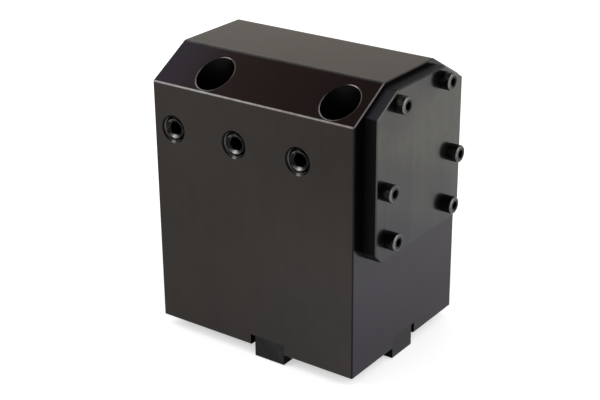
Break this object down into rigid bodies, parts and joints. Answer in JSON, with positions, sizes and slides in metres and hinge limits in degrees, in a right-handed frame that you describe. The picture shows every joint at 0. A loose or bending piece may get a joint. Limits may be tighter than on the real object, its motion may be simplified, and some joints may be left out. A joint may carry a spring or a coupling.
{
  "type": "boring bar holder",
  "caption": "Turret-mounted steel block that clamps a 40 mm boring bar in a cross bore with set screws, with a bolted end cover, driving keys and a coolant way.",
  "frame": {"origin": "where the axis of the turret pilot meets the block's underside, the face that seats on the turret", "axes": "+Z away from the turret; X along the bar bore, with its mouth at -X and the end cover at +X; -Y towards the clamp screws"},
  "size_m": [0.104, 0.075, 0.1195],
  "materials": {
    "block_steel": "ground and black oxidised, satin, with warm grey and faint violet temper tints",
    "plate_steel": "ground and black oxidised, satin",
    "key_steel": "hardened, ground and black oxidised, matt",
    "cover_screw_steel": "black oxidised alloy steel, ends rubbed bright",
    "clamp_screw_steel": "black oxidised alloy steel, rim of the socket rubbed bright",
    "seal_rubber": "matt black rubber"
  },
  "bodies": {
    "holder": {"body": "block_steel", "cover_plate": "plate_steel", "cover_seal": "seal_rubber", "cover_screw_1": "cover_screw_steel", "cover_screw_2": "cover_screw_steel", "cover_screw_3": "cover_screw_steel", "cover_screw_4": "cover_screw_steel", "cover_screw_5": "cover_screw_steel", "cover_screw_6": "cover_screw_steel", "key_front": "key_steel", "key_back": "key_steel", "key_left": "key_steel", "key_right": "key_steel", "key_screw_front": "cover_screw_steel", "key_screw_back": "cover_screw_steel", "key_screw_left": "cover_screw_steel", "key_screw_right": "cover_screw_steel", "inlet_seal": "seal_rubber"},
    "clamp_1": {"clamp_screw_1": "clamp_screw_steel"},
    "clamp_2": {"clamp_screw_2": "clamp_screw_steel"},
    "clamp_3": {"clamp_screw_3": "clamp_screw_steel"}
  },
  "joints": [
    {"name": "clamp_1_travel", "type": "slide", "parent": "holder", "child": "clamp_1", "axis": [0, 1, 0], "range_m": [-0.0075, 0.0045]},
    {"name": "clamp_2_travel", "type": "slide", "parent": "holder", "child": "clamp_2", "axis": [0, 1, 0], "range_m": [-0.0075, 0.0045]},
    {"name": "clamp_3_travel", "type": "slide", "parent": "holder", "child": "clamp_3", "axis": [0, 1, 0], "range_m": [-0.0075, 0.0045]}
  ]
}
